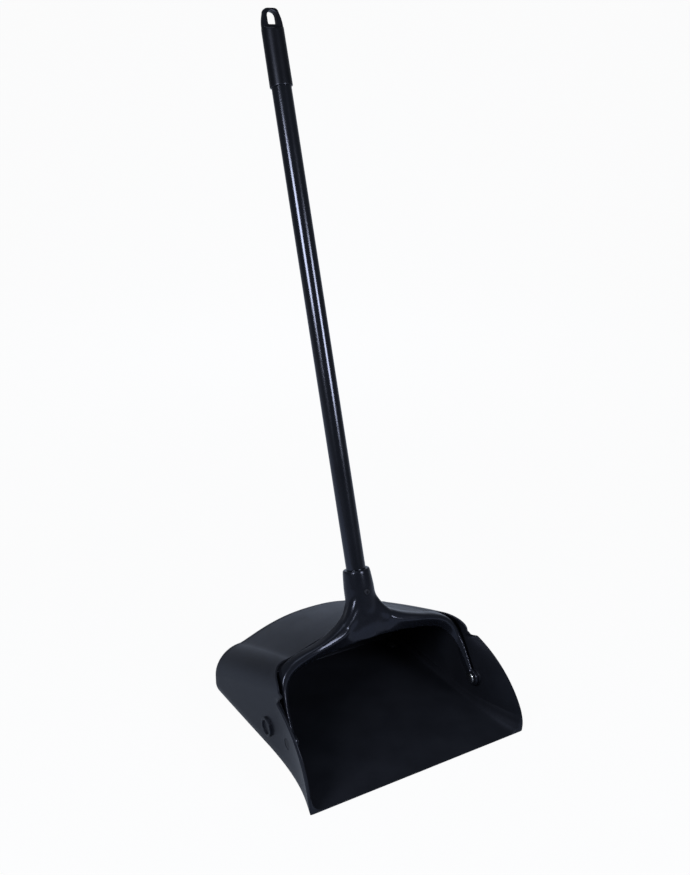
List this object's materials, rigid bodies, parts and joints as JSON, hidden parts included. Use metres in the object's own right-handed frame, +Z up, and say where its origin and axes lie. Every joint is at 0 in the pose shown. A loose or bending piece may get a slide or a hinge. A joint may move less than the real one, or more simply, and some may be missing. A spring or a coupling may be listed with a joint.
{
  "type": "lobby dustpan",
  "caption": "Upright lobby dustpan: a hooded black plastic pan with flared ears swings on a bow-shaped yoke under a long tubular handle that ends in a cap with a hang hole.",
  "frame": {"origin": "middle of the lip's front edge at floor height", "axes": "+X along the lip to the right as seen from the lip's side, +Y from the lip to the back wall, +Z up"},
  "size_m": [0.326, 0.3818, 0.9156],
  "materials": {
    "pan_plastic": "satin",
    "foot_plastic": "matt",
    "rivet_steel": "satin",
    "washer_nylon": "satin",
    "yoke_plastic": "gloss",
    "tube_enamel": "gloss",
    "plug_plastic": "matt",
    "screw_black": "satin",
    "cap_plastic": "satin"
  },
  "bodies": {
    "pan": {"pan_body": "pan_plastic", "wear_foot_left": "foot_plastic", "wear_foot_right": "foot_plastic", "pivot_rivet_left": "rivet_steel", "pivot_rivet_right": "rivet_steel", "spacer_washer_left": "washer_nylon", "spacer_washer_right": "washer_nylon", "rivet_washer_left": "rivet_steel", "rivet_washer_right": "rivet_steel"},
    "handle": {"yoke": "yoke_plastic", "handle_tube": "tube_enamel", "tube_plug": "plug_plastic", "handle_screw": "screw_black", "end_cap": "cap_plastic"}
  },
  "joints": [
    {"name": "yoke_pivot", "type": "hinge", "parent": "pan", "child": "handle", "pos_m": [0, 0.084, 0.044], "axis": [1, 0, 0], "range_deg": [0, 105]}
  ]
}
